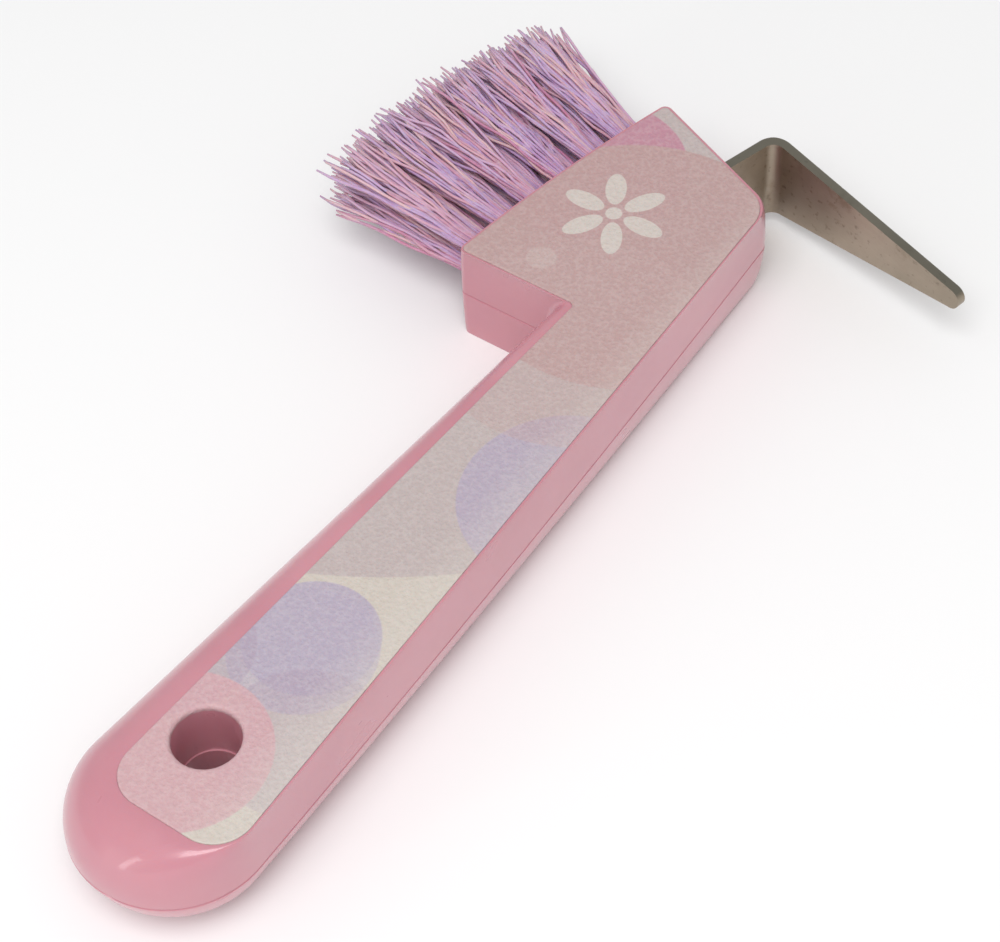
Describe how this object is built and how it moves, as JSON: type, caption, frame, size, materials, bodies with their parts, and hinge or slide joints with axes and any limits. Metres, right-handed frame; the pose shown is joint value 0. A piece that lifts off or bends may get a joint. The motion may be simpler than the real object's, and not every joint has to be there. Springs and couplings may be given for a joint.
{
  "type": "hoof pick",
  "caption": "Hoof pick with a tapered plastic grip, a bent flat steel pick, a tufted brush beside it, a textured pad on its face and a hang hole in the butt.",
  "frame": {"origin": "on the hang hole's axis, at the flat back face that the tool lies on", "axes": "+Y along the grip from the hang hole to the head, +X towards the steel arm (the brush is on -X), +Z out of the padded face"},
  "size_m": [0.0989, 0.1725, 0.0194],
  "materials": {
    "shell_plastic": "satin gloss pink moulding",
    "print_film": "fine leather grain with pale printed discs",
    "steel": "tumbled, slightly warm",
    "pin_steel": "plain",
    "staple_wire": "plain",
    "bristle": "mixed lilac and pink crimped filament"
  },
  "bodies": {
    "root": {"upper_shell": "shell_plastic", "lower_shell": "shell_plastic", "print_pad": "print_film", "hook": "steel", "tang_pins": "pin_steel", "tuft_staples": "staple_wire", "tuft_row1_1": "bristle", "tuft_row1_2": "bristle", "tuft_row1_3": "bristle", "tuft_row1_4": "bristle", "tuft_row1_5": "bristle", "tuft_row1_6": "bristle", "tuft_row2_1": "bristle", "tuft_row2_2": "bristle", "tuft_row2_3": "bristle", "tuft_row2_4": "bristle", "tuft_row2_5": "bristle", "tuft_row2_6": "bristle", "tuft_row3_1": "bristle", "tuft_row3_2": "bristle", "tuft_row3_3": "bristle", "tuft_row3_4": "bristle", "tuft_row3_5": "bristle", "tuft_row3_6": "bristle"}
  },
  "joints": []
}
